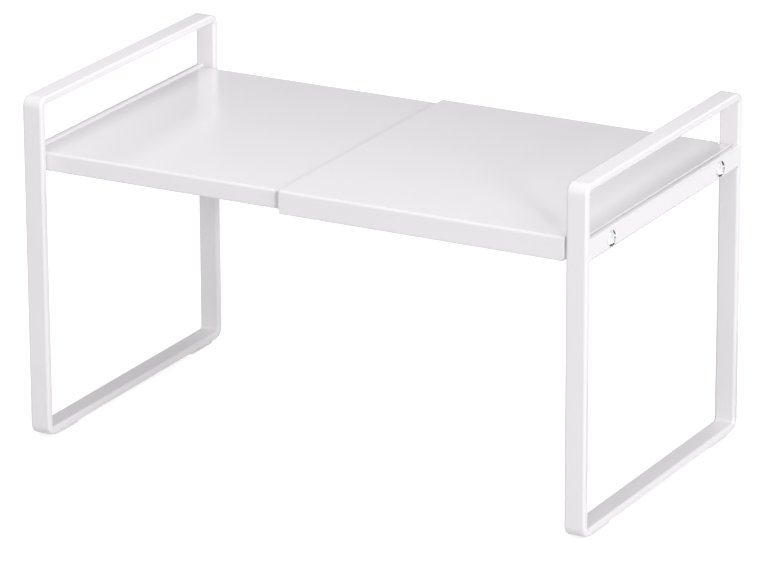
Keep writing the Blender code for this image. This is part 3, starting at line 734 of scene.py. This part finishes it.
zinc = make_finish(
    "clear_zinc_plate", ZINC_SHADES, ZINC_PATCH, ZINC_GLOSS, ZINC_GRAIN, ZINC_RELIEF, metal=1.0
)
finish_corners(nut, "nut", zinc, "zinc_nut")

# Mouth guides
# A nylon clip grips each lip of the larger tray at its mouth: its wall fills the gap beside the smaller tray,
# its foot carries that tray's lip, and its barb holds under the larger tray's own lip.
GUIDE_FOOT = 0.001
GUIDE_HOOK = 0.0014
GUIDE_BARB = 0.0025
GUIDE_WALL = 0.0034
GUIDE_EDGE = 0.0002
BARB_LEAD = 0.0005

# White nylon: injection moulded, half matt from the mould's fine grain, an even and slightly warm white.
# The grain is drawn at 0.5 mm, coarser than the real one, so that it shows.
NYLON_SHADES = ("#E6E4DF", "#ECEAE6")
NYLON_PATCH = 0.008
NYLON_GLOSS = (0.42, 0.52)
NYLON_GRAIN = 0.0005
NYLON_RELIEF = 0.000006

low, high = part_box("front_mouth_guide")
lip_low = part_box("outer_tray")[0][2]
lip_high = lip_low + SHEET
foot_high = lip_high + GUIDE_FOOT
hook_y = high[1] - GUIDE_HOOK
wall_centre = (low[0], low[1] + GUIDE_WALL / 2, (foot_high + high[2]) / 2)
guide = add_plane("front_guide", wall_centre, high[2] - foot_high, GUIDE_WALL, (0, math.pi / 2, 0))
pick(guide, "EDGE", lambda place: near(place.z, foot_high))
draw_out((0, 0, -GUIDE_FOOT))
pick(guide, "EDGE", lambda place: near(place.y, low[1] + GUIDE_WALL) and place.z < foot_high + CLOSE)
draw_out((0, hook_y - low[1] - GUIDE_WALL, 0))
draw_out((0, GUIDE_HOOK, 0))
pick(guide, "EDGE", lambda place: near(place.z, lip_high) and place.y > hook_y - CLOSE)
draw_out((0, 0, -SHEET))
draw_out((0, 0, low[2] - lip_low))
pick(guide, "EDGE", lambda place: near(place.y, hook_y) and place.z < lip_low + CLOSE)
draw_out((0, -GUIDE_BARB, 0))
bpy.ops.mesh.select_all(action="SELECT")
draw_face((high[0] - low[0], 0, 0))
close_seams()
pick(guide, "EDGE", lambda place: near(place.y, low[1]) and near(place.z, lip_high))
bpy.ops.mesh.bevel(offset=LIP_RADIUS - SHEET, segments=EDGE_STEPS)
pick(guide, "EDGE", lambda place: near(place.y, hook_y - GUIDE_BARB) and near(place.z, low[2]))
bpy.ops.mesh.bevel(offset=BARB_LEAD, segments=1)
break_edges(guide, GUIDE_EDGE)
nylon = make_finish("white_nylon", NYLON_SHADES, NYLON_PATCH, NYLON_GLOSS, NYLON_GRAIN, NYLON_RELIEF)
back_guide = copy_piece(guide, "back_guide", turn_at=((low[0] + high[0]) / 2, 0, 0))
finish_piece(guide, nylon, "outer_half", "nylon", "front_mouth_guide")
finish_piece(back_guide, nylon, "outer_half", "nylon", "back_mouth_guide")

# End glides
# A nylon block rides on the outside of each flange of the smaller tray, at its hidden end.
# It is moulded with a snap peg, pushed through a hole in the flange, whose barbed head holds it.
GLIDE_CORNER = 0.0012
GLIDE_EDGE = 0.0003
PEG_RADIUS = 0.0015
PEG_HEAD = 0.0023
PEG_RIM = 0.0004
PEG_TIP = 0.0012
PEG_CORNERS = 48

low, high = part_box("front_end_glide")
flange_y = -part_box("inner_tray")[1][1]
head_y = flange_y + SHEET
centre = ((low[0] + high[0]) / 2, flange_y, (low[2] + high[2]) / 2)
glide = add_plane("front_glide", centre, high[0] - low[0], high[2] - low[2], (math.pi / 2, 0, 0))
bpy.ops.mesh.bevel(offset=GLIDE_CORNER, segments=EDGE_STEPS, affect="VERTICES")
bpy.ops.mesh.select_all(action="SELECT")
draw_face((0, low[1] - flange_y, 0))
peg = {"vertices": PEG_CORNERS, "radius": PEG_RADIUS, "fill_type": "NGON", "rotation": (math.pi / 2, 0, 0)}
bpy.ops.mesh.select_all(action="DESELECT")
bpy.ops.mesh.primitive_circle_add(location=(centre[0], flange_y - SHEET, centre[2]), **peg)
for run, radius, old_radius in (
    (head_y - flange_y + SHEET, PEG_RADIUS, PEG_RADIUS),
    (0, PEG_HEAD, PEG_RADIUS),
    (PEG_RIM, PEG_HEAD, PEG_HEAD),
    (high[1] - head_y - PEG_RIM, PEG_TIP, PEG_HEAD),
):
    draw_face((0, run, 0))
    bpy.ops.transform.resize(value=(radius / old_radius, 1, radius / old_radius), center_override=centre)
close_seams()
break_edges(glide, GLIDE_EDGE)
back_glide = copy_piece(glide, "back_glide", turn_at=(centre[0], 0, 0))
finish_piece(glide, nylon, "inner_half", "nylon", "front_end_glide")
finish_piece(back_glide, nylon, "inner_half", "nylon", "back_end_glide")

# Foot pads
# Four stick-on pads keep the loops from scratching the worktop and from sliding on it.
# They are die cut from 1.5 mm silicone sheet and pressed on under the lower bars, just behind the bends.
PAD_CORNER = 0.003
PAD_EDGE = 0.0003

# Silicone rubber: cast white sheet, matt and a little dusty, with uneven gloss where it has been pressed.
PAD_SHADES = ("#E6E6E4", "#EFEFED")
PAD_PATCH = 0.01
PAD_GLOSS = (0.55, 0.68)
PAD_GRAIN = 0.0007
PAD_RELIEF = 0.000008

low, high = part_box("right_front_foot_pad")
pad_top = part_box("right_leg_frame")[0][2] + WELD_CLOSE
centre = ((low[0] + high[0]) / 2, (low[1] + high[1]) / 2, low[2])
pad = add_plane("right_front_solid_pad", centre, high[0] - low[0], high[1] - low[1])
bpy.ops.mesh.bevel(offset=PAD_CORNER, segments=EDGE_STEPS + EDGE_STEPS, affect="VERTICES")
bpy.ops.mesh.select_all(action="SELECT")
draw_face((0, 0, pad_top - low[2]))
close_seams()
break_edges(pad, PAD_EDGE)
silicone = make_finish("white_silicone", PAD_SHADES, PAD_PATCH, PAD_GLOSS, PAD_GRAIN, PAD_RELIEF)
finish_corners(pad, "foot_pad", silicone, "foot_pad")
